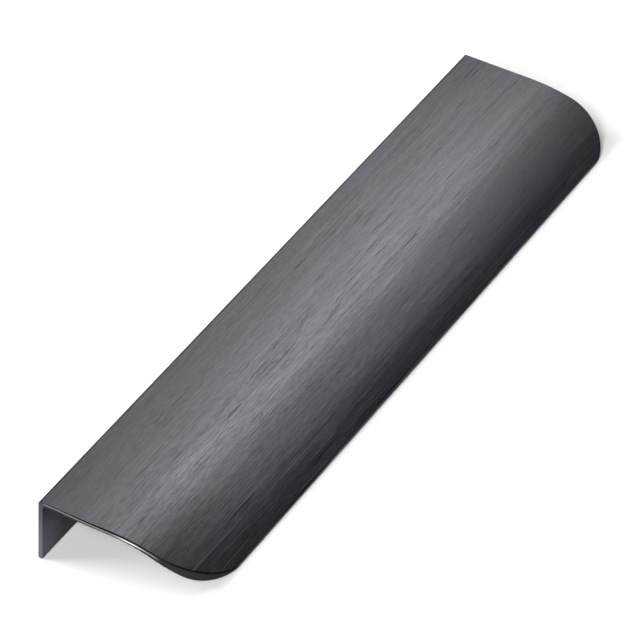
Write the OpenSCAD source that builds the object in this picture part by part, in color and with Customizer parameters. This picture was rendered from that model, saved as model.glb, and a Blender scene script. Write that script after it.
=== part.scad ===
// Finger pull for a drawer front or a door: one length of thin L-shaped profile.
// The short leg is screwed to the back of the front, the long leg lies on the front's top edge,
// and its free end curves down and thickens into a lip that the fingers draw on.
// +X runs along the profile, the lip faces -Y, and the part stands on its foot and its lip at Z = 0.

/* [Profile] */
// Length of the profile, from end to end
profile_length = 200; // [80:1:600]
// Thickness of the flange and of the plate
wall = 1.2; // [1.1:0.1:2]
// Height of the screw flange, from the plate's top face down to its foot
flange_height = 17; // [15:0.5:30]
// Flat part of the plate, from the flange's rear face to where the lip's curve starts
flat_depth = 19; // [12:0.5:40]
// Radius of the outside corner between flange and plate
bend_radius = 0.6; // [0.5:0.1:1.1]
// Radius of the inside corner between flange and plate
root_radius = 0.5; // [0.3:0.1:0.8]

/* [Lip] */
// Radius of the lip's curve, on the top face
lip_radius = 49; // [36:1:60]
// How far the top face has turned down at the lip's tip, in degrees
lip_angle = 31.5; // [28:0.5:34]
// Radius of the rounding under the lip's nose, which levels out at the tip
nose_radius = 15.5; // [12:0.5:19]
// Radius of the lip's two corners, seen square onto the plate
corner_radius = 14.8; // [4:0.2:18]

/* [Screw holes] */
// Distance of each screw hole's centre from its end of the profile
hole_inset = 20; // [8:1:35]
// Height of the screw holes above the flange's foot
hole_height = 7; // [5.5:0.5:9]
// Diameter of the screw holes
hole_d = 4; // [3:0.1:5]
// Diameter of the countersinks at the flange's rear face
sink_d = 5.8; // [5.2:0.1:8]
// Depth of the countersinks
sink_depth = 0.9; // [0.5:0.1:0.9]

/* [Hidden] */
$fn = 96;

// Radius of the rounded edges along the foot and along the lip's tip
edge_radius = 0.4;
// How far a cutter runs past the face that it cuts
overrun = 1;
// How far the outline that trims the nose lies outside the lip
past_lip = 8;
// Share of the wall's thickness that the tongue between plate and lip takes
tongue_share = 0.5;

// Points of the section are [depth, height]: depth is measured forward from the flange's rear
// face, and height up from the plate's top face.

// Centres of the top face's curve and of the rounded tip, which touches that curve from inside
curve_centre = [flat_depth, -lip_radius];
lip_ray = [sin(lip_angle), cos(lip_angle)];
lip_tip = curve_centre + (lip_radius - edge_radius) * lip_ray;

// Centre of the rounding under the nose, right above the tip
nose_centre = lip_tip + [0, nose_radius - edge_radius];

// The under face leaves the plate on a tighter curve, which thickens the lip, and runs on into the
// rounding under the nose. Both radii follow from how far the tip lies in front of the flat part and
// how far its lowest point lies under the plate.
tip_run = lip_tip[0] - flat_depth;
tip_drop = edge_radius - wall - lip_tip[1];
under_radius = (pow(tip_run, 2) + pow(tip_drop, 2)) / (2 * tip_drop) - nose_radius;
under_centre = [flat_depth, -wall - under_radius];
under_ray = (nose_centre - under_centre) / (under_radius + nose_radius);

// Centres of the foot's rounded edges
foot_rear = [edge_radius, edge_radius - flange_height];
foot_front = [wall - edge_radius, edge_radius - flange_height];

// Where the lip's front edge would be if its tip weren't rounded
front_depth = lip_tip[0] + edge_radius * (lip_ray[0] + lip_ray[1]);

// The part leans forward until the foot and the lip's tip stand on one level
lean = atan2(lip_tip[1] - foot_front[1], lip_tip[0] - foot_front[0]);
function leaned(p) = [p[0] * cos(lean) + p[1] * sin(lean), p[1] * cos(lean) - p[0] * sin(lean)];
floor_height = leaned(foot_front)[1] - edge_radius;
rear_reach = leaned(foot_rear)[0] - edge_radius;
front_reach = leaned(lip_tip)[0] + edge_radius;

// The flange in the plate's place, from the bend to its foot, whose two edges are rounded
module flange(reach) {
    translate([0, -wall]) square([reach - edge_radius, wall]);
    translate([0, edge_radius - wall]) square([reach, wall - 2 * edge_radius]);
    for (drop = [edge_radius, wall - edge_radius])
        translate([reach - edge_radius, -drop]) circle(edge_radius);
}

// The rounded outside corner, cut to the square of wall that the flange and the plate share
module bend() {
    intersection() {
        translate([bend_radius, -bend_radius]) circle(bend_radius);
        translate([0, -wall]) square(wall);
    }
}

// The fillet in the inside corner, on a square that reaches as far into the walls
module root() {
    translate([wall - root_radius, -wall - root_radius]) difference() {
        square(2 * root_radius);
        translate([2 * root_radius, 0]) circle(root_radius);
    }
}

// The lip as far as the nose, between the top face's curve and the tighter curve underneath
module lip_curve() {
    reach = under_radius + wall + overrun;
    difference() {
        intersection() {
            translate(curve_centre) circle(lip_radius, $fn = 360);
            translate(under_centre) polygon([[0, 0], [0, reach], reach / under_ray[1] * under_ray]);
        }
        translate(under_centre) circle(under_radius, $fn = 360);
    }
}

// The nose, which reaches back into the lip's curve by a wall's thickness
module nose() {
    start = under_centre + under_radius * under_ray - wall * [under_ray[1], -under_ray[0]];
    intersection() {
        translate(curve_centre) circle(lip_radius, $fn = 360);
        translate(nose_centre) circle(nose_radius, $fn = 360);
        polygon([start + past_lip * under_ray, lip_tip + past_lip * lip_ray, lip_tip,
                 lip_tip - [0, past_lip], start - past_lip * under_ray]);
    }
    translate(lip_tip) circle(edge_radius);
}

// The whole section: flange, bend, plate, curve and nose
module section() {
    translate([0, -bend_radius]) rotate(-90) translate([0, wall]) flange(flange_height - bend_radius);
    bend();
    root();
    translate([bend_radius, -wall]) square([flat_depth - bend_radius, wall]);
    translate([flat_depth - wall, -wall * (1 + tongue_share) / 2]) square([2 * wall, wall * tongue_share]);
    lip_curve();
    nose();
}

// What the lip's front corner loses to its rounding, at the +X end
module corner_waste() {
    translate([0, 0, -flange_height - overrun]) linear_extrude(flange_height + 2 * overrun)
        translate([profile_length / 2 - corner_radius, front_depth - corner_radius]) difference() {
            square(corner_radius + overrun);
            circle(corner_radius, $fn = 180);
        }
}

// Countersunk hole through the flange at the +X end, its countersink in the rear face
module screw_hole() {
    translate([profile_length / 2 - hole_inset, 0, hole_height - flange_height]) rotate([-90, 0, 0]) {
        translate([0, 0, -overrun]) cylinder(h = wall + 2 * overrun, d = hole_d);
        cylinder(h = sink_depth, d1 = sink_d, d2 = hole_d);
        translate([0, 0, -overrun]) cylinder(h = overrun, d = sink_d);
    }
}

module pull_profile() {
    color("#3b3b40")
        translate([0, (rear_reach + front_reach) / 2, -floor_height])
        rotate([lean, 0, 0]) mirror([0, 1, 0])
        difference() {
            rotate([90, 0, 90]) linear_extrude(profile_length, center = true) section();
            for (side = [0, 1]) mirror([side, 0, 0]) {
                corner_waste();
                screw_hole();
            }
        }
}

pull_profile();
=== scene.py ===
"""One length of dark brushed aluminium edge pull, standing on its foot and its lip on a pale floor."""

import math

import bpy
import numpy as np
from mathutils import Matrix, Vector


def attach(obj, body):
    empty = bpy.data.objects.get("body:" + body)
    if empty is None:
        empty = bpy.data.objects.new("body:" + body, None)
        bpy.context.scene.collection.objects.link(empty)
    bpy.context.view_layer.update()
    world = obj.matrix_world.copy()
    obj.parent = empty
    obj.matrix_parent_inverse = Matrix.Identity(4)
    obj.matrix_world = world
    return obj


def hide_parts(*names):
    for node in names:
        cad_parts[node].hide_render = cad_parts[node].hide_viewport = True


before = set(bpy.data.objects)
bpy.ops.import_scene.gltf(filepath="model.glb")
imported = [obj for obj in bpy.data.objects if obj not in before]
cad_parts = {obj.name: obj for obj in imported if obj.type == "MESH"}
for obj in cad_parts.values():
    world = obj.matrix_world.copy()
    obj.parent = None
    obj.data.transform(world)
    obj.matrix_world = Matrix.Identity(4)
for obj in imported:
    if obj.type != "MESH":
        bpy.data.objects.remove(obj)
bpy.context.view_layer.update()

MM = 0.001

# Sizes of the profile, as in the part's source
LENGTH = 200 * MM
WALL = 1.2 * MM
FLANGE_HEIGHT = 17 * MM
FLAT_DEPTH = 19 * MM
BEND_RADIUS = 0.6 * MM
ROOT_RADIUS = 0.5 * MM
LIP_RADIUS = 49 * MM
LIP_ANGLE = math.radians(31.5)
NOSE_RADIUS = 15.5 * MM
CORNER_RADIUS = 14.8 * MM
EDGE_RADIUS = 0.4 * MM
HOLE_INSET = 20 * MM
HOLE_HEIGHT = 7 * MM
HOLE_RADIUS = 2 * MM
SINK_RADIUS = 2.9 * MM
SINK_DEPTH = 0.9 * MM

# Rounding left by deburring on the sawn and milled edges, and on the rims of the screw holes
ARRIS = 0.16 * MM
RIM = 0.06 * MM

# Points on the section's stretches, and on the deburred edge
FOOT_POINTS = 8
CORNER_POINTS = 12
PLATE_POINTS = 12
FLANGE_TOP_POINTS = 5
LIP_START_POINTS = 9
LIP_END_POINTS = 28
TIP_POINTS = 9
ARRIS_POINTS = 6

# A row this close to a rounding, or at this share of a flat stretch, keeps the flat face's shading flat
CLOSE = 0.05 * MM
CLOSE_SHARE = 0.012

# The square block of cells round a screw hole: half its width, and its cells along each side
HOLE_BLOCK = 4.5 * MM
BLOCK_CELLS = 12
BLOCK_STEPS = np.linspace(-HOLE_BLOCK, HOLE_BLOCK, BLOCK_CELLS + 1)
ROWS_UNDER_BLOCK = 3

# Stations from the middle to a hole's block, and from the block to the end
MIDDLE_STATIONS = 28
END_STATIONS = 8

# Stations nearer the middle than this stay where they are; the rest are drawn in round the lip's corners
STILL = 70 * MM

# A right angle, from which the angles on the section's circles are counted
TURN = math.pi / 2

# The section
# Its points are depth, forward from the flange's rear face, and height, up from the plate's top face.


def arc(centre, radius, start, end, count, side=1):
    """Points on a circle round centre, between two angles, and their outward normals.

    A point is centre plus radius times its ray; the normal is the ray, turned round where side is -1.
    """
    angle = np.linspace(start, end, count)
    rays = np.stack([np.cos(angle), np.sin(angle)], -1)
    return np.asarray(centre) + radius * rays, side * rays


def line(start, end, shares, normal):
    """Points at given shares of the way from start to end, all with one outward normal."""
    start, end = np.asarray(start, float), np.asarray(end, float)
    points = start + np.asarray(shares)[:, None] * (end - start)
    return points, np.tile(np.asarray(normal, float), (len(points), 1))


def path(*stretches):
    """Joins stretches end to end, less each stretch's first point, which the one before it already has."""
    points = np.vstack([s[0][1 if k else 0:] for k, s in enumerate(stretches)])
    normals = np.vstack([s[1][1 if k else 0:] for k, s in enumerate(stretches)])
    return points, normals


def ray(angle):
    """The direction that leans forward from straight up by an angle: its sine forward, its cosine up."""
    return np.array([math.sin(angle), math.cos(angle)])


# The top face's curve, the rounded tip inside it and the rounding under the nose, right above the tip
curve_centre = np.array([FLAT_DEPTH, -LIP_RADIUS])
lip_tip = curve_centre + (LIP_RADIUS - EDGE_RADIUS) * ray(LIP_ANGLE)
nose_centre = lip_tip + [0, NOSE_RADIUS - EDGE_RADIUS]

# The tighter curve that the under face leaves the plate on, which runs on into the nose's rounding
tip_run = lip_tip[0] - FLAT_DEPTH
tip_drop = EDGE_RADIUS - WALL - lip_tip[1]
UNDER_RADIUS = (tip_run ** 2 + tip_drop ** 2) / (2 * tip_drop) - NOSE_RADIUS
under_centre = np.array([FLAT_DEPTH, -WALL - UNDER_RADIUS])
UNDER_ANGLE = math.atan2(*(nose_centre - under_centre))

# The lip's front, where the corner's circles start, and the lean that puts foot and tip on one level
FRONT = lip_tip[0] + EDGE_RADIUS * ray(LIP_ANGLE).sum()
CORNER_START = FRONT - CORNER_RADIUS
foot_rear = np.array([EDGE_RADIUS, EDGE_RADIUS - FLANGE_HEIGHT])
foot_front = np.array([WALL - EDGE_RADIUS, EDGE_RADIUS - FLANGE_HEIGHT])
lean = math.atan2(lip_tip[1] - foot_front[1], lip_tip[0] - foot_front[0])


def leaned(p):
    """Section points turned by the lean, so that the foot and the lip's lower edge stand on one level."""
    c, s = math.cos(lean), math.sin(lean)
    return np.stack([p[..., 0] * c + p[..., 1] * s, p[..., 1] * c - p[..., 0] * s], -1)


FLOOR_HEIGHT = leaned(foot_front)[1] - EDGE_RADIUS
MIDDLE = (leaned(foot_rear)[0] + leaned(lip_tip)[0]) / 2


def flange_rows(top):
    """Heights of the rows on the flange, as shares of the way from its foot's rounding up to top.

    They are two close rows, one halfway to the hole's block, the block's even rows, and even rows above it.
    """
    low = EDGE_RADIUS - FLANGE_HEIGHT
    block = HOLE_HEIGHT - FLANGE_HEIGHT + BLOCK_STEPS
    heights = np.r_[low, low + CLOSE, (low + block[0]) / 2, block,
                    np.linspace(block[-1], top - CLOSE, FLANGE_TOP_POINTS)[1:], top]
    return (heights - low) / (top - low)


def eased(count):
    """Shares from 0 to 1: even ones, with a close one at each end."""
    return np.r_[0, np.linspace(CLOSE_SHARE, 1 - CLOSE_SHARE, count), 1]


def lip_turns():
    """Turns of the lip's top face, whose depths cut the rounded corner into equal turns of its own.

    The depths run evenly up to the corner's start and then with the sine of the corner's turn; a turn is
    the arcsine of its depth past the flat over the lip's radius.
    """
    end = FLAT_DEPTH + LIP_RADIUS * math.sin(LIP_ANGLE)
    swing = np.linspace(0, math.asin((end - CORNER_START) / CORNER_RADIUS), LIP_END_POINTS)
    depths = np.r_[np.linspace(FLAT_DEPTH, CORNER_START, LIP_START_POINTS)[:-1],
                   CORNER_START + CORNER_RADIUS * np.sin(swing)]
    return np.arcsin((depths - FLAT_DEPTH) / LIP_RADIUS)


def lip_top(turns):
    """The lip's top face: its circle, as far as the rounded tip."""
    rays = np.stack([np.sin(turns), np.cos(turns)], -1)
    return curve_centre + LIP_RADIUS * rays, rays


def lip_under(turns):
    """The lip's under face at the same shares of its depth as the top face.

    It lies on the tighter curve as far as that goes, and then on the rounding under the nose.
    """
    run = np.sin(turns) / math.sin(LIP_ANGLE) * tip_run
    on_curve = run < UNDER_RADIUS * math.sin(UNDER_ANGLE)
    sine = np.where(on_curve, run / UNDER_RADIUS, (tip_run - run) / NOSE_RADIUS)
    rays = np.stack([sine, np.sqrt(1 - sine ** 2)], -1)
    on_nose = nose_centre - NOSE_RADIUS * rays
    return np.where(on_curve[:, None], under_centre + UNDER_RADIUS * rays, on_nose), -rays


# The tip's two arcs stop short of its front by this angle, and a narrow flat band joins them
TIP_FRONT = -LIP_ANGLE / 2
TIP_BAND = math.radians(8)

TURNS = lip_turns()
BEND_CORNER = [BEND_RADIUS, -BEND_RADIUS]
ROOT_CORNER = [WALL + ROOT_RADIUS, -WALL - ROOT_RADIUS]
outer_points, outer_normals = path(
    arc(foot_rear, EDGE_RADIUS, -TURN, -2 * TURN, FOOT_POINTS),
    line([0, EDGE_RADIUS - FLANGE_HEIGHT], [0, -BEND_RADIUS], flange_rows(-BEND_RADIUS), [-1, 0]),
    arc(BEND_CORNER, BEND_RADIUS, 2 * TURN, TURN, CORNER_POINTS),
    line([BEND_RADIUS, 0], [FLAT_DEPTH, 0], eased(PLATE_POINTS), [0, 1]),
    lip_top(TURNS),
    arc(lip_tip, EDGE_RADIUS, TURN - LIP_ANGLE, TIP_FRONT + TIP_BAND, TIP_POINTS))
inner_points, inner_normals = path(
    arc(foot_front, EDGE_RADIUS, -TURN, 0, FOOT_POINTS),
    line([WALL, EDGE_RADIUS - FLANGE_HEIGHT], [WALL, ROOT_CORNER[1]], flange_rows(ROOT_CORNER[1]), [1, 0]),
    arc(ROOT_CORNER, ROOT_RADIUS, 2 * TURN, TURN, CORNER_POINTS, -1),
    line([ROOT_CORNER[0], -WALL], [FLAT_DEPTH, -WALL], eased(PLATE_POINTS), [0, -1]),
    lip_under(TURNS),
    arc(lip_tip, EDGE_RADIUS, -TURN, TIP_FRONT - TIP_BAND, TIP_POINTS))

# Shares of the way from the outer to the inner side at which the cut faces have their points
ACROSS = np.array([0, 0.04, 0.5, 0.96, 1])


def across(first, second):
    """Rows from first to second, at the shares that the cut faces use."""
    share = ACROSS[:, None]
    return first[..., None, :] * (1 - share) + second[..., None, :] * share


def loop(outer, inner):
    """The closed section: the outer side, the tip's band, the inner side backwards and the foot's flat."""
    return np.vstack([outer, across(outer[-1], inner[-1])[1:-1],
                      inner[::-1], across(inner[0], outer[0])[1:-1]])


loop_points = loop(outer_points, inner_points)
loop_normals = loop(outer_normals, inner_normals)
PAIRS = len(outer_points)
ROUND = len(loop_points)
INNER = slice(PAIRS + len(ACROSS) - 2, 2 * PAIRS + len(ACROSS) - 2)

# The skin


def half_length(depth, inset):
    """Half the profile's length at a depth, drawn in by inset.

    It is full as far as the corner's start, and then follows the corner's circle: the root of its radius
    squared less the depth past that start squared.
    """
    past = np.maximum(depth - CORNER_START, 0)
    reach = CORNER_RADIUS - inset
    return LENGTH / 2 - CORNER_RADIUS + np.sqrt(np.maximum(reach ** 2 - past ** 2, 0))


def placed(x, section):
    """Row positions of section points at x: leaned, counted back from the middle and up from the floor."""
    y_z = leaned(section)
    return np.stack([x + 0 * y_z[..., 0], MIDDLE - y_z[..., 0], y_z[..., 1] - FLOOR_HEIGHT], -1)


def along_stations():
    """Places along the profile: even in the middle, close round the holes, a close pair at the ends."""
    hole = LENGTH / 2 - HOLE_INSET
    end = LENGTH / 2 - ARRIS
    half = np.r_[np.linspace(0, hole - HOLE_BLOCK, MIDDLE_STATIONS), (hole + BLOCK_STEPS)[1:],
                 np.linspace(hole + HOLE_BLOCK, end - CLOSE, END_STATIONS)[1:], end]
    return np.r_[-half[:0:-1], half]


stations = along_stations()


def skin_rows():
    """The section carried along the stations, its end stretches drawn in to the plan outline.

    Past STILL, a station keeps its share of the way to the end, and the end is half the length there.
    """
    x = stations[None, :]
    end = LENGTH / 2 - ARRIS
    share = np.clip((np.abs(x) - STILL) / (end - STILL), 0, 1)
    limit = half_length(loop_points[:, :1], ARRIS)
    x = np.sign(x) * np.where(np.abs(x) > STILL, STILL + share * (limit - STILL), np.abs(x))
    return placed(x, loop_points[:, None, :] + 0 * x[..., None])


def end_rings(side):
    """The deburred edge at one end: rings that draw the section in as they run out to the cut face.

    At a turn t, a ring is drawn in by the arris times 1 less cos t, and lies short of the cut face by the
    arris times 1 less sin t.
    """
    t = np.linspace(0, TURN, ARRIS_POINTS)[None, :]
    drawn_in = ARRIS * (1 - np.cos(t))
    section = loop_points[:, None, :] - loop_normals[:, None, :] * drawn_in[..., None]
    depth = loop_points[:, :1] - loop_normals[:, :1] * drawn_in
    return placed(side * half_length(depth, ARRIS * (1 - np.sin(t))), section)


def cap_rows(side, ring):
    """The cut face: rows on the plan outline, from the last ring's outer points to their inner partners."""
    section = across(outer_points - ARRIS * outer_normals, inner_points - ARRIS * inner_normals)
    cap = placed(side * half_length(section[..., 0], 0), section)
    cap[:, 0], cap[:, -1] = ring[:PAIRS], ring[INNER][::-1]
    cap[-1, 1:-1] = ring[PAIRS:INNER.start]
    cap[0, 1:-1] = ring[INNER.stop:][::-1]
    return cap


def quads(rows, closed=False, keep=None):
    """Corner points of the cells of a grid; closed joins the last row to the first, keep picks cells."""
    if closed:
        rows = np.concatenate([rows, rows[:1]])
    cells = np.stack([rows[:-1, :-1], rows[1:, :-1], rows[1:, 1:], rows[:-1, 1:]], 2)
    return cells[keep] if keep is not None else cells.reshape(-1, 4, 3)


def block_edge(rows, first_row, first_station):
    """The grid's points round the edge of the block of cells that a screw hole takes, in order."""
    n = BLOCK_CELLS
    block = rows[first_row:first_row + n + 1, first_station:first_station + n + 1]
    return np.concatenate([block[0, :-1], block[:-1, -1], block[-1, :0:-1], block[:0:-1, 0]])


def hole_rows(rear, inner, x_hole):
    """A countersunk screw hole, from the edge of the rear block to the edge of the inner block.

    In between lie circles round the hole's axis, each with a radius and a place through the wall: down
    the countersink and along the bore, with rounded rims.
    """
    def on_flange(depth, height):
        return placed(np.array(x_hole), np.array([depth, HOLE_HEIGHT - FLANGE_HEIGHT + height]))

    centre = on_flange(0.0, 0.0)
    up, through = on_flange(0.0, 1.0) - centre, on_flange(1.0, 0.0) - centre
    out = rear - centre
    wide, high = out[:, 0], out @ up
    size = np.hypot(wide, high)
    rays = (wide / size)[:, None] * np.array([1.0, 0, 0]) + (high / size)[:, None] * up
    radius_and_place = np.array([
        [SINK_RADIUS + 3 * RIM, 0], [SINK_RADIUS + RIM, 0], [SINK_RADIUS, 0.4 * RIM],
        [SINK_RADIUS - RIM, 1.4 * RIM], [HOLE_RADIUS + 0.5 * RIM, SINK_DEPTH - 0.5 * RIM],
        [HOLE_RADIUS, SINK_DEPTH + RIM], [HOLE_RADIUS, WALL - 1.5 * RIM],
        [HOLE_RADIUS + RIM, WALL], [HOLE_RADIUS + 3 * RIM, WALL]])
    rings = centre + radius_and_place[:, None, :1] * rays + radius_and_place[:, None, 1:] * through
    return np.concatenate([rear[None], rings, inner[None]])


def closed_shell():
    """All cells of the profile's skin: sides, end edges, cut faces and screw holes."""
    rows = skin_rows()
    parts = []
    keep = np.ones((ROUND, len(stations) - 1), bool)
    rear_row = FOOT_POINTS - 1 + ROWS_UNDER_BLOCK
    inner_row = INNER.stop - 1 - rear_row - BLOCK_CELLS
    for side in (-1, 1):
        x_hole = side * (LENGTH / 2 - HOLE_INSET)
        first = int(np.argmin(np.abs(stations - (x_hole - HOLE_BLOCK))))
        for row in (rear_row, inner_row):
            keep[row:row + BLOCK_CELLS, first:first + BLOCK_CELLS] = False
        rear = block_edge(rows, rear_row, first)
        inner = block_edge(rows[INNER][::-1], rear_row, first)
        hole = hole_rows(rear, inner, x_hole)
        parts.append(quads(np.concatenate([hole, hole[:, :1]], 1)))
        rings = end_rings(side)
        parts.append(quads(rings, closed=True)[:, ::side])
        parts.append(quads(cap_rows(side, rings[:, -1]))[:, ::side])
    parts.append(quads(rows, closed=True, keep=keep))
    return np.concatenate(parts)


# Corners that agree to this are one vertex
WELD = 1e-8


def mesh_from(name, cells):
    """A mesh of four-cornered cells, with corners that lie on one another made one vertex."""
    corners = cells.reshape(-1, 3)
    _, first, index = np.unique(np.round(corners / WELD).astype(np.int64), axis=0,
                                return_index=True, return_inverse=True)
    mesh = bpy.data.meshes.new(name)
    mesh.from_pydata(corners[first].tolist(), [], index.reshape(-1, 4).tolist())
    mesh.shade_smooth()
    mesh.update()
    return mesh


profile_mesh = mesh_from("brushed_profile", closed_shell())
profile = bpy.data.objects.new("brushed_profile", profile_mesh)
bpy.context.scene.collection.objects.link(profile)
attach(profile, "root")
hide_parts("pull_profile")

# Materials


class Wire:
    """A socket of a material's node tree, on which sums are written as Python expressions."""

    def __init__(self, tree, socket):
        self.tree, self.socket = tree, socket

    def math(self, operation, *others):
        """A Math node on this value and the others, in order."""
        return self.tree.add("ShaderNodeMath", {"operation": operation},
                             {k: v for k, v in enumerate((self,) + others)})

    def __add__(self, other):
        return self.math("ADD", other)

    def __sub__(self, other):
        return self.math("SUBTRACT", other)

    def __rsub__(self, other):
        return self.tree.add("ShaderNodeMath", {"operation": "SUBTRACT"}, {0: other, 1: self})

    def __mul__(self, other):
        return self.math("MULTIPLY", other)

    def __pow__(self, other):
        return self.math("POWER", other)

    def __abs__(self):
        return self.math("ABSOLUTE")

    __radd__ = __add__
    __rmul__ = __mul__

    def over(self, low):
        """How far the value lies over low, and zero under it."""
        return (self - low).math("MAXIMUM", 0.0)

    def clamped(self, low, high):
        """The value, kept between low and high."""
        return self.tree.add("ShaderNodeClamp", {}, {"Value": self, "Min": low, "Max": high}, "Result")

    def ramp(self, low, high, to_low=0.0, to_high=1.0):
        """Smooth step from to_low at low to to_high at high."""
        return self.tree.add("ShaderNodeMapRange", {"interpolation_type": "SMOOTHSTEP"},
                             {"Value": self, "From Min": low, "From Max": high,
                              "To Min": to_low, "To Max": to_high}, "Result")

    def within(self, low, high, soft):
        """A mask that is 1 between low and high and fades out over soft on either side."""
        return self.ramp(low - soft, low) * self.ramp(high, high + soft, 1.0, 0.0)


class Material:
    """A node material, whose nodes all come from add()."""

    def __init__(self, name):
        self.material = bpy.data.materials.new(name)
        self.material.use_nodes = True
        self.nodes = self.material.node_tree.nodes
        self.links = self.material.node_tree.links
        self.nodes.clear()

    def add(self, kind, settings=None, sockets=None, output=0):
        """One node from its type, its settings and the values or links of its sockets."""
        node = self.nodes.new(kind)
        for key, value in (settings or {}).items():
            setattr(node, key, value)
        for key, value in (sockets or {}).items():
            if isinstance(value, Wire):
                self.links.new(value.socket, node.inputs[key])
            else:
                node.inputs[key].default_value = value
        return Wire(self, node.outputs[output]) if node.outputs else None

    def mix(self, share, first, second):
        """Mix of two colours."""
        return self.add("ShaderNodeMix", {"data_type": "RGBA"}, {0: share, 6: first, 7: second}, 2)

    def scaled(self, colour, factor):
        """A colour times a value."""
        return self.add("ShaderNodeVectorMath", {"operation": "SCALE"}, {0: colour, 3: factor})

    def parts(self, vector):
        """The three coordinates of a vector."""
        first = self.add("ShaderNodeSeparateXYZ", {}, {0: vector})
        return [Wire(self, socket) for socket in first.socket.node.outputs]

    def added(self, first, second):
        """Sum of two vectors."""
        return self.add("ShaderNodeVectorMath", {"operation": "ADD"}, {0: first, 1: second})

    def stretched(self, position, scale):
        """Position times a scale on each axis."""
        return self.add("ShaderNodeVectorMath", {"operation": "MULTIPLY"}, {0: position, 1: scale})

    def position(self):
        """Where a point lies on the object, in metres."""
        return self.add("ShaderNodeTexCoord", output="Object")

    def noise(self, position, waves, detail, output=0):
        """Fractal noise round 0.5, at so many waves a metre on each axis; output 1 gives three of them."""
        return self.add("ShaderNodeTexNoise", {"noise_dimensions": "3D"},
                        {"Vector": self.stretched(position, waves), "Scale": 1.0, "Detail": detail}, output)

    def finish(self, shader):
        """Closes the tree with its output, and gives Blender's material."""
        self.add("ShaderNodeOutputMaterial", {}, {"Surface": shader})
        return self.material


# Colours of the brushed skin, at the lip, on the faces that were never brushed, near their ends and in
# painted near-black shade deeper in, and in scratches
SKIN = (0.1225, 0.1200, 0.1325, 1)
LIP_SKIN = (0.136, 0.133, 0.160, 1)
INSIDE_END = (0.092, 0.085, 0.104, 1)
INSIDE_PAINTED_SHADE = (0.007, 0.006, 0.009, 1)
SCRATCH = (0.045, 0.045, 0.050, 1)

# Colours of the cut ends: the flange's, low and high, the painted dark shade on the plate's and lip's, the
# painted black arris, also used for other painted dark edges, and the painted glint line
CUT_GREY = (0.152, 0.146, 0.165, 1)
CUT_GREY_TOP = (0.07, 0.067, 0.077, 1)
CUT_PAINTED_SHADE = (0.032, 0.031, 0.036, 1)
PAINTED_BLACK = (0.008, 0.008, 0.009, 1)
PAINTED_GLINT = (0.92, 0.93, 0.94, 1)

# The ramps below are a start and an end, and then the values there where those aren't 0 and 1.
# Cut ends: how the flange's grey lightens towards its foot, how far the painted black arris reaches on the
# plate's end, and where the painted glint line lies on it
FLANGE_GREY_UNDER = (-2 * MM, 14 * MM)
FLANGE_GREY_ENDS = (WALL, WALL + 0.4 * MM)
PAINTED_BLACK_UNDER = (0.15 * MM, 0.6 * MM)
GLINT_UNDER = (2 * MM, 17 * MM, 0.26 * MM, 0.62 * MM)
GLINT_HALF_WIDTH = (10 * MM, 22 * MM, 0.11 * MM, 0.15 * MM)
GLINT_SOFT = (0.0, 0.10 * MM, 1.0, 0.0)
GLINT_RISES = (19 * MM, 23.5 * MM, 0.25, 1.0)
GLINT_FALLS = (24.5 * MM, 29 * MM, 1.0, 0.28)
GLINT_ENDS = (30 * MM, 32 * MM, 1.0, 0.0)

# Round the cut ends: how far in from the plan outline they and their painted dark edge reach
AT_END = (1 * MM, 4 * MM)
CUT_REACH = (0.06 * MM, 0.12 * MM, 1.0, 0.0)
PAINTED_EDGE_REACH = (0.12 * MM, 0.34 * MM, 1.0, 0.0)
PAINTED_EDGE_BY_DEPTH = (12 * MM, 20 * MM, 0.0, 0.85)

# Layers of brush marks: waves a metre on each axis, detail, and their shares in tone and in height
LAYERS = {
    "grain": ((420, 3800, 3800), 0.0, 0.40, 0.3),
    "short": ((160, 3300, 3300), 1.0, 0.30, 0.3),
    "stroke": ((60, 3100, 3100), 1.0, 0.35, 0.5),
    "broad": ((40, 900, 900), 1.0, 0.15, 0.8),
}
WANDER = (60, 60, 60)
WANDER_REACH = 0.35 * MM
CLOUDS = (20, 220, 220)
CLOUD_TONE = 0.25

# How strong the marks are over depth and along the profile, on top of what they have everywhere
MARKS_EVERYWHERE = 0.85
MARKS_BY_DEPTH = (11 * MM, 21 * MM)
MARKS_ALONG = (-90 * MM, 90 * MM, 0.9, -0.2)

# The skin's tone: painted sheen towards the end of the flat, painted shade on the lip and painted shade at
# the -X end
PAINTED_SHEEN_FORWARD = (3 * MM, 19 * MM, 0.92, 1.10)
PAINTED_SHADE_ON_LIP = (18 * MM, 25 * MM, 1.0, 0.85)
END_SHADE_BY_DEPTH = (17 * MM, 24 * MM)
END_SHADE_ALONG = (-100 * MM, -65 * MM, 0.30, 0.0)
LIP_TINT = (27 * MM, 42 * MM)
TONE_RANGE = (0.3, 2.5)

# Draw lines: their noise, where they lie and fade, which noise makes a dark or a light one, how strong
DRAW_LINES = (26, 3700, 3700)
MIDDLE_BAND = (20 * MM, 30 * MM)
LINES_IN_MIDDLE = 0.6
LINES_SOFT = 3 * MM
LINES_ON_LIP = (34 * MM, 39 * MM)
LINES_ALONG = (-50 * MM, 90 * MM, 1.0, 0.25)
DARK_LINE = (0.38, 0.30)
LIGHT_LINE = (0.65, 0.71)
DARK_BY_DEPTH = (30 * MM, 39 * MM, 0.45, 0.8)
LIGHT_BY_DEPTH = (30 * MM, 39 * MM, 0.3, 1.1)
LINE_HEIGHT = 0.8

# Scratches: the noise that groups them and the noise of each, and how much they darken
SCRATCH_GROUPS = (22, 260, 260)
SCRATCHES = (90, 3500, 3500)
GROUPED = (0.40, 0.60)
SCRATCHED = (0.66, 0.74)
GROUPS_IN_MIDDLE = 0.5
GROUPS_SOFT = 5 * MM
SCRATCH_STRENGTH = 0.65

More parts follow.
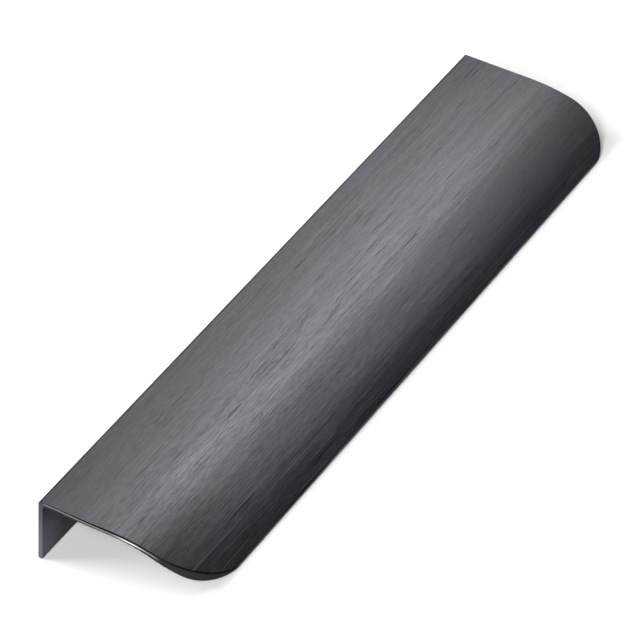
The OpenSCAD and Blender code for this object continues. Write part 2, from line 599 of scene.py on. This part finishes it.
# Faces that were never brushed: how far under the top face and in front of the rear face they start,
# and how far in from the ends, and down the flange, they stay clear of their painted near-black shade
INSIDE_UNDER = (0.5 * MM, 0.95 * MM)
INSIDE_FORWARD = (0.6 * MM, 1.0 * MM)
CLEAR_OF_SHADE_AT_END = (0.0, 11 * MM, 1.0, 0.0)
CLEAR_OF_SHADE_UNDER = (1.5 * MM, 12 * MM)

# The lip's tip, whose rounded lower edge is painted dark over its reflection
TIP_UNDER = (0.02 * MM, 0.25 * MM)
TIP_FORWARD = (42.5 * MM, 43.5 * MM)
TIP_PAINTED_SHADE = 0.9

# Roughness of the skin, how it changes with the broad marks and inside, and its limits
ROUGH = 0.33
ROUGH_BY_MARKS = 0.2
ROUGH_INSIDE = 0.15
ROUGH_RANGE = (0.2, 0.6)
BUMP_STRENGTH = 0.4
BUMP_HEIGHT = 0.03 * MM


def section_place(m):
    """Where a point of the surface lies: along the profile, deep in the section, and under the top face.

    Depth and height are the position turned back by the lean; the last is the lip's radius less the
    distance from its centre, which under the flat part is the distance under the plate's top.
    """
    x, y, z = m.parts(m.position())
    forward, upward = MIDDLE - y, z + FLOOR_HEIGHT
    depth = forward * math.cos(lean) - upward * math.sin(lean)
    height = forward * math.sin(lean) + upward * math.cos(lean)
    past_flat = depth.over(FLAT_DEPTH)
    below = LIP_RADIUS - (past_flat ** 2 + (height + LIP_RADIUS) ** 2) ** 0.5
    return x, depth, below


def cut_colour(m, depth, below):
    """Colour of the cut ends: grey on the flange, painted dark shade on plate and lip, with a painted black
    arris and a painted bright glint line.
    """
    flange = m.mix(below.ramp(*FLANGE_GREY_UNDER), CUT_GREY_TOP, CUT_GREY)

    # The painted glint line is thin along the plate and brightest where the lip begins, and ends at the
    # corner
    off_glint = abs(below - depth.ramp(*GLINT_UNDER)) - depth.ramp(*GLINT_HALF_WIDTH)
    glint_strength = depth.ramp(*GLINT_RISES) * depth.ramp(*GLINT_FALLS) * depth.ramp(*GLINT_ENDS)
    # Painted shade: the plate's and lip's cut faces are dark, with a painted black line along the top arris
    painted_dark = m.mix(below.ramp(*PAINTED_BLACK_UNDER), PAINTED_BLACK, CUT_PAINTED_SHADE)
    glint_on_dark = m.mix(off_glint.ramp(*GLINT_SOFT) * glint_strength, painted_dark, PAINTED_GLINT)
    return m.mix(depth.ramp(*FLANGE_GREY_ENDS), flange, glint_on_dark)


def with_cut_ends(m, x, depth, below, skin):
    """The skin's colour, with the cut ends' colour and the painted dark edges round them.

    Both go by how far a point lies in from the plan outline: the corner's radius less the distance from
    the corner's centre, of which only what lies past that centre counts.
    """
    past_straight = abs(x).over(LENGTH / 2 - CORNER_RADIUS)
    past_corner = depth.over(CORNER_START)
    inset = CORNER_RADIUS - (past_straight ** 2 + past_corner ** 2) ** 0.5
    at_end = past_straight.ramp(*AT_END)
    # Painted shade: a black line along the skin's edge at the cut ends, darkest forward of the flat
    edge = inset.ramp(*PAINTED_EDGE_REACH) * depth.ramp(*PAINTED_EDGE_BY_DEPTH) * at_end
    on_face = inset.ramp(*CUT_REACH) * at_end
    return m.mix(on_face, m.mix(edge, skin, PAINTED_BLACK), cut_colour(m, depth, below))


def total(wires):
    """Sum of several values."""
    first, *rest = wires
    return sum(rest, first)


def brushed_finish():
    """Dark anodised aluminium, brushed along X, with draw lines, odd scratches, and painted light and shade
    on the skin, the inside faces and the cut ends.
    """
    m = Material("dark_brushed_aluminium")
    x, depth, below = section_place(m)

    # The brush wanders a little, so its marks aren't quite straight
    wander = m.noise(m.position(), WANDER, 1.0, 1)
    place = m.added(m.position(), m.stretched(wander, (0, WANDER_REACH, WANDER_REACH)))

    # Brush marks of several lengths, and clouds that make whole patches lighter or darker
    layer = {name: m.noise(place, waves, detail) for name, (waves, detail, _, _) in LAYERS.items()}
    marks = total((layer[name] - 0.5) * share for name, (_, _, share, _) in LAYERS.items())
    strength = MARKS_EVERYWHERE + depth.ramp(*MARKS_BY_DEPTH) * x.ramp(*MARKS_ALONG)
    tone = 1.0 + marks * strength + (m.noise(place, CLOUDS, 2.0) - 0.5) * CLOUD_TONE

    # Painted light: the skin is a little lighter where the flat ends than at the rear and on the lip, and
    # painted shade darkens it at -X
    tone = tone * depth.ramp(*PAINTED_SHEEN_FORWARD) * depth.ramp(*PAINTED_SHADE_ON_LIP)
    tone = tone * (1.0 - depth.ramp(*END_SHADE_BY_DEPTH) * x.ramp(*END_SHADE_ALONG))

    # Draw lines along the middle band and, closer together, where the lip was formed
    lines = m.noise(place, DRAW_LINES, 1.0)
    in_middle = depth.within(*MIDDLE_BAND, LINES_SOFT) * LINES_IN_MIDDLE
    drawn = (in_middle + depth.ramp(*LINES_ON_LIP)) * x.ramp(*LINES_ALONG)
    dark_line = lines.ramp(*DARK_LINE) * drawn
    light_line = lines.ramp(*LIGHT_LINE) * drawn
    tone = tone * (1.0 - dark_line * depth.ramp(*DARK_BY_DEPTH)) + light_line * depth.ramp(*LIGHT_BY_DEPTH)

    # Short dark scratches, in loose groups
    group = m.noise(place, SCRATCH_GROUPS, 1.0).ramp(*GROUPED)
    group = group + depth.within(*MIDDLE_BAND, GROUPS_SOFT) * GROUPS_IN_MIDDLE
    dashes = m.noise(place, SCRATCHES, 1.0).ramp(*SCRATCHED) * group.clamped(0.0, 1.0)
    skin = m.mix(depth.ramp(*LIP_TINT), SKIN, LIP_SKIN)
    skin = m.scaled(m.mix(dashes * SCRATCH_STRENGTH, skin, SCRATCH), tone.clamped(*TONE_RANGE))

    # The faces that were never brushed are darker and plainer; away from the ends and up under the plate
    # they get painted near-black shade
    inside = below.ramp(*INSIDE_UNDER) * depth.ramp(*INSIDE_FORWARD)
    clear_of_painted_shade = (LENGTH / 2 - abs(x)).ramp(*CLEAR_OF_SHADE_AT_END) * below.ramp(*CLEAR_OF_SHADE_UNDER)
    skin = m.mix(inside, skin, m.mix(clear_of_painted_shade, INSIDE_PAINTED_SHADE, INSIDE_END))
    # Painted shade: the lip's rounded lower edge is painted near-black over its reflection
    tip = below.ramp(*TIP_UNDER) * depth.ramp(*TIP_FORWARD)
    skin = m.mix(tip * TIP_PAINTED_SHADE, skin, PAINTED_BLACK)
    colour = with_cut_ends(m, x, depth, below, skin)

    cut_in = total(layer[name] * share for name, (_, _, _, share) in LAYERS.items())
    height_map = (cut_in + lines * drawn * LINE_HEIGHT - dashes) * (1.0 - inside)
    rough = ROUGH + (layer["broad"] - 0.5) * ROUGH_BY_MARKS + inside * ROUGH_INSIDE
    bump = m.add("ShaderNodeBump", {},
                 {"Strength": BUMP_STRENGTH, "Distance": BUMP_HEIGHT, "Height": height_map}, "Normal")
    shader = m.add("ShaderNodeBsdfPrincipled", {},
                   {"Base Color": colour, "Roughness": rough.clamped(*ROUGH_RANGE), "Metallic": 1.0,
                    "Normal": bump})
    return m.finish(shader)


profile_mesh.materials.append(brushed_finish())

# Floor, lamps and camera

FLOOR_REACH = 3.0
FLOOR_WHITE = (0.95, 0.95, 0.95, 1)


def floor_sheet():
    """A level white square under the part."""
    r = FLOOR_REACH
    mesh = bpy.data.meshes.new("floor")
    mesh.from_pydata([(-r, -r, 0), (r, -r, 0), (r, r, 0), (-r, r, 0)], [], [(0, 1, 2, 3)])
    floor = bpy.data.objects.new("floor", mesh)
    bpy.context.scene.collection.objects.link(floor)
    m = Material("floor_white")
    shader = m.add("ShaderNodeBsdfPrincipled", {},
                   {"Base Color": FLOOR_WHITE, "Roughness": 0.9, "Specular IOR Level": 0.0})
    mesh.materials.append(m.finish(shader))


floor_sheet()


def lamp(name, place, width, depth, radiance):
    """A soft box that faces the part: width along the profile, depth across it.

    A radiance of 1 would look white to the camera; the lamp's power is pi times radiance times area.
    """
    data = bpy.data.lights.new(name, "AREA")
    data.shape = "RECTANGLE"
    data.size, data.size_y = width, depth
    data.energy = radiance * math.pi * width * depth
    box = bpy.data.objects.new(name, data)
    back = Vector(place).normalized()
    along = Vector((0, 1, 0)).cross(back).normalized()
    turn = Matrix((along, back.cross(along), back)).transposed()
    box.matrix_world = Matrix.Translation(place) @ turn.to_4x4()
    bpy.context.scene.collection.objects.link(box)


def world_light(strength):
    """An even grey surround of a given strength."""
    world = bpy.data.worlds.new("surround")
    world.use_nodes = True
    background = world.node_tree.nodes["Background"]
    background.inputs["Color"].default_value = (1, 1, 1, 1)
    background.inputs["Strength"].default_value = strength
    bpy.context.scene.world = world


# The back light throws the soft shadow under the plate, and the key, near the camera, keeps it pale.
# The plate and the lip mirror the strip and the panel, which give them their light band.
world_light(0.10)
lamp("left_key", (-1.41, -0.5, 0.98), 0.7, 0.7, 21.0)
lamp("back_light", (-0.35, 1.8, 1.2), 1.2, 1.2, 8.9)
lamp("rear_strip", (0.259, 0.053, 0.4), 0.354, 0.162, 2.77)
lamp("side_panel", (0.369, -0.113, 0.4), 0.163, 0.229, 1.32)

# The camera: where it stands, what it looks at, its turn about its view line, and its lens in mm
EYE = (-0.74705, -0.52348, 0.60766)
AIM = (-0.00333, 0.00388, 0.00616)
ROLL = math.radians(-9.446)
LENS = 259.394
SENSOR = 36


def place_camera(eye, aim, roll, lens):
    """A camera at eye that looks at aim, turned by roll about its view line."""
    data = bpy.data.cameras.new("camera")
    data.lens, data.sensor_width, data.sensor_fit = lens, SENSOR, "HORIZONTAL"
    data.clip_start, data.clip_end = 0.01, 20
    camera = bpy.data.objects.new("camera", data)
    camera.rotation_mode = "QUATERNION"
    camera.location = eye
    turn = (Vector(aim) - Vector(eye)).to_track_quat("-Z", "Y")
    camera.rotation_quaternion = turn @ Matrix.Rotation(roll, 3, "Z").to_quaternion()
    bpy.context.scene.collection.objects.link(camera)
    bpy.context.scene.camera = camera


place_camera(EYE, AIM, ROLL, LENS)

bpy.context.scene.view_settings.view_transform = "Standard"
